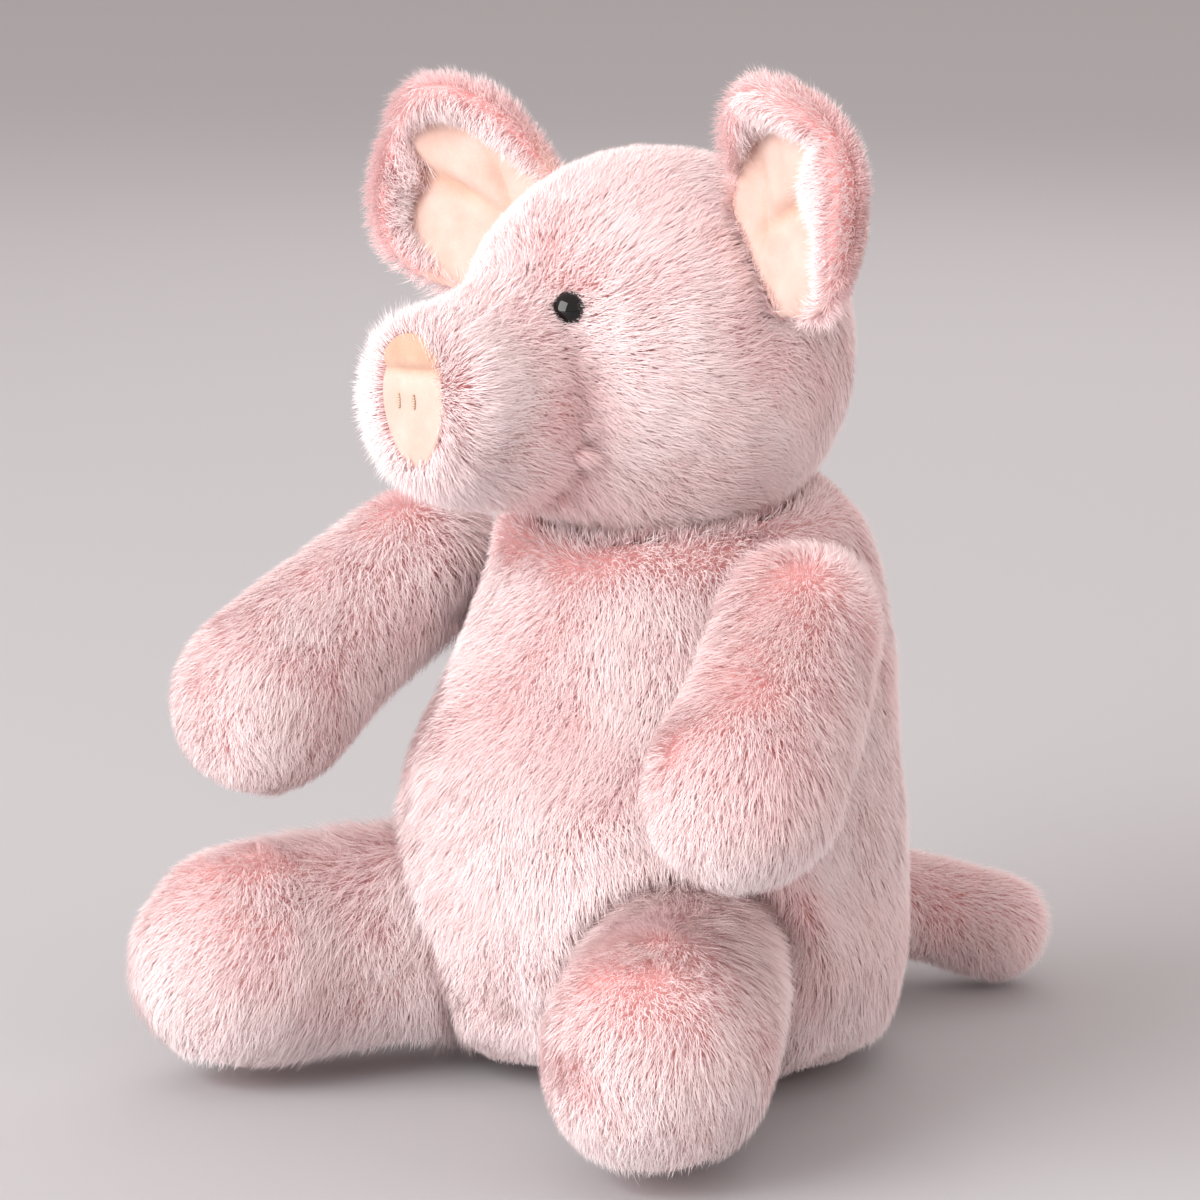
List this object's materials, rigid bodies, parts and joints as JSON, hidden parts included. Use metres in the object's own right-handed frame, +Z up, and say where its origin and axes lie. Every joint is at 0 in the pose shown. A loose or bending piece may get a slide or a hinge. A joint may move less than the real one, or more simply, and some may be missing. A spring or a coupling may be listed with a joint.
{
  "type": "plush pig",
  "caption": "Seated stuffed pig in pale pink fur with a peach snout pad and ear linings; head, ears, arms, legs and tail move.",
  "frame": {"origin": "on the flat seat under the body, at the level of the surface the toy sits on", "axes": "+Z up through the head; the pig faces -Y and its left side is +X"},
  "size_m": [0.2964, 0.3427, 0.3767],
  "materials": {
    "fur": "matte",
    "velboa": "matte",
    "fibre": "matte",
    "pellet_cloth": "matte",
    "eye": "gloss",
    "washer": "matte",
    "thread": "matte",
    "seam_thread": "matte"
  },
  "bodies": {
    "body": {"body_cover": "fur", "body_stuffing": "fibre", "pellet_bag": "pellet_cloth", "closing_stitch": "seam_thread"},
    "head": {"head_cover": "fur", "head_stuffing": "fibre", "snout_cover": "fur", "snout_stuffing": "fibre", "nose_pad": "velboa", "nostril_stitch_left": "thread", "nostril_stitch_right": "thread", "eye_left": "eye", "eye_right": "eye", "eye_washer_left": "washer", "eye_washer_right": "washer"},
    "ear_left": {"ear_outer_left": "fur", "ear_lining_left": "velboa"},
    "ear_right": {"ear_outer_right": "fur", "ear_lining_right": "velboa"},
    "arm_left": {"arm_left_cover": "fur", "arm_left_stuffing": "fibre"},
    "arm_right": {"arm_right_cover": "fur", "arm_right_stuffing": "fibre"},
    "leg_left": {"leg_left_cover": "fur", "leg_left_stuffing": "fibre"},
    "leg_right": {"leg_right_cover": "fur", "leg_right_stuffing": "fibre"},
    "tail": {"tail_cover": "fur", "tail_stuffing": "fibre"}
  },
  "joints": [
    {"name": "head_turn", "type": "hinge", "parent": "body", "child": "head", "pos_m": [0, 0.004, 0.27], "axis": [0, 0, 1], "range_deg": [-16, 36], "stiffness_Nm_per_rad": 0.6},
    {"name": "ear_fold_left", "type": "hinge", "parent": "head", "child": "ear_left", "pos_m": [0.05758, -0.00824, 0.3097], "axis": [0.547, -0.1163, -0.829], "range_deg": [-10, 12], "stiffness_Nm_per_rad": 0.12},
    {"name": "ear_fold_right", "type": "hinge", "parent": "head", "child": "ear_right", "pos_m": [-0.06242, 0.01727, 0.30112], "axis": [0.4288, -0.0911, 0.8988], "range_deg": [-10, 12], "stiffness_Nm_per_rad": 0.12},
    {"name": "arm_swing_left", "type": "hinge", "parent": "body", "child": "arm_left", "pos_m": [0.09174, -0.026, 0.18217], "axis": [-0.9703, 0, -0.2419], "range_deg": [0, 45], "stiffness_Nm_per_rad": 0.5},
    {"name": "arm_swing_right", "type": "hinge", "parent": "body", "child": "arm_right", "pos_m": [-0.09174, -0.026, 0.18217], "axis": [-0.9703, 0, 0.2419], "range_deg": [0, 45], "stiffness_Nm_per_rad": 0.5},
    {"name": "leg_turn_left", "type": "hinge", "parent": "body", "child": "leg_left", "pos_m": [0.05362, -0.045, 0.0495], "axis": [0.766, -0.6428, 0], "range_deg": [-15, 15], "stiffness_Nm_per_rad": 1},
    {"name": "leg_turn_right", "type": "hinge", "parent": "body", "child": "leg_right", "pos_m": [-0.05362, -0.045, 0.0495], "axis": [0.766, 0.6428, 0], "range_deg": [-15, 15], "stiffness_Nm_per_rad": 1},
    {"name": "tail_wag", "type": "hinge", "parent": "body", "child": "tail", "pos_m": [0, 0.09939, 0.046], "axis": [0, 0, 1], "range_deg": [-4, 34], "stiffness_Nm_per_rad": 0.08}
  ]
}
